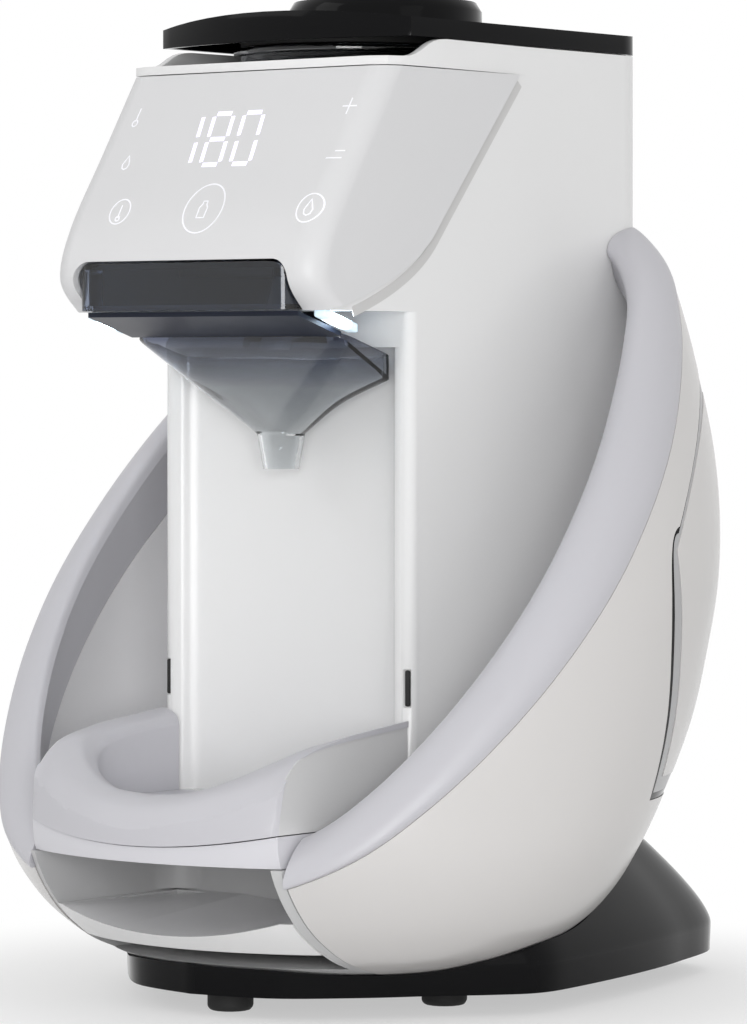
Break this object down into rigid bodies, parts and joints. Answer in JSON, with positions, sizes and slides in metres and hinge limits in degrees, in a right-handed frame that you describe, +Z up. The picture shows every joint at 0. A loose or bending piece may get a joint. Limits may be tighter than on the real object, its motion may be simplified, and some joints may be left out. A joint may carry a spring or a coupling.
{
  "type": "baby formula maker",
  "caption": "Counter-top baby formula maker: a tall tower with a jutting control head stands in an egg-shaped open bowl above a black base, with bottle shelf, funnel and drip tray.",
  "frame": {"origin": "centre of the bounding box of the footprint, on the table under the feet", "axes": "+Z up, -Y towards the user (the bottle bay faces -Y), +X to the right of someone looking along -Y from behind, which is the viewer's right when facing the front"},
  "size_m": [0.2706, 0.2806, 0.3746],
  "materials": {
    "white_plastic": "smooth satin-gloss white",
    "grey_plastic": "soft satin lavender grey",
    "dark_plastic": "matt dark grey",
    "black_gloss": "piano black",
    "smoke_plastic": "clear smoked plastic",
    "clear_plastic": "clear plastic",
    "rubber": "black rubber",
    "steel": "plain steel",
    "board": "green circuit board",
    "lamp": "frosted white lamp lens"
  },
  "bodies": {
    "housing": {"outer_shell": "white_plastic", "rear_cover": "white_plastic", "rear_cover_trim": "black_gloss", "rim_bezel": "grey_plastic", "inner_bowl_left": "grey_plastic", "inner_bowl_right": "grey_plastic", "tower_housing": "white_plastic", "head_visor": "white_plastic", "bay_wall": "white_plastic", "head_top_plate": "white_plastic", "led_lamp_left": "lamp", "led_lamp_right": "lamp", "hopper_deck": "dark_plastic", "stirrer_motor": "steel", "powder_chute": "white_plastic", "tank_socket": "rubber", "water_pump": "dark_plastic", "water_heater": "steel", "machine_tray": "dark_plastic", "control_board": "board", "suction_hose": "clear_plastic", "heater_hose": "clear_plastic", "slot_liner_left": "rubber", "slot_liner_right": "rubber", "tray_bay": "dark_plastic", "base": "black_gloss", "power_inlet": "rubber", "foot_front": "rubber", "foot_left": "rubber", "foot_right": "rubber", "foot_rear_left": "rubber", "foot_rear_right": "rubber"},
    "lid": {"lid": "black_gloss", "lid_seal": "rubber"},
    "powder_container": {"powder_hopper": "smoke_plastic"},
    "powder_rotor": {"metering_wheel": "white_plastic", "stirrer": "white_plastic", "drive_gear": "white_plastic"},
    "pinion": {"motor_pinion": "steel"},
    "water_tank": {"water_tank": "clear_plastic"},
    "funnel": {"funnel": "smoke_plastic", "funnel_lip": "smoke_plastic"},
    "bottle_shelf": {"bottle_shelf": "grey_plastic", "shelf_skirt": "grey_plastic"},
    "drip_tray": {"drip_tray": "white_plastic"}
  },
  "joints": [
    {"name": "lid_lift", "type": "slide", "parent": "housing", "child": "lid", "axis": [0, 0, 1], "range_m": [0, 0.09]},
    {"name": "container_lift", "type": "slide", "parent": "housing", "child": "powder_container", "axis": [0, 0, 1], "range_m": [0, 0.06]},
    {"name": "tank_lift", "type": "slide", "parent": "housing", "child": "water_tank", "axis": [0, 0, 1], "range_m": [0, 0.06]},
    {"name": "rotor_spin", "type": "hinge", "parent": "powder_container", "child": "powder_rotor", "pos_m": [0, -0.01388, 0.29], "axis": [0, 0, 1], "continuous": true},
    {"name": "pinion_spin", "type": "hinge", "parent": "housing", "child": "pinion", "pos_m": [0, 0.01492, 0.28], "axis": [0, 0, 1], "continuous": true},
    {"name": "funnel_slide", "type": "slide", "parent": "housing", "child": "funnel", "axis": [0, -1, 0], "range_m": [0, 0.07]},
    {"name": "shelf_slide", "type": "slide", "parent": "housing", "child": "bottle_shelf", "axis": [0, -1, 0], "range_m": [0, 0.09]},
    {"name": "tray_slide", "type": "slide", "parent": "housing", "child": "drip_tray", "axis": [0, -1, 0], "range_m": [0, 0.09]}
  ],
  "couplings": [
    {"joint": "container_lift", "follows": "lid_lift", "ratio": 0.6},
    {"joint": "tank_lift", "follows": "lid_lift", "ratio": 0.6},
    {"joint": "pinion_spin", "follows": "rotor_spin", "ratio": -2}
  ]
}
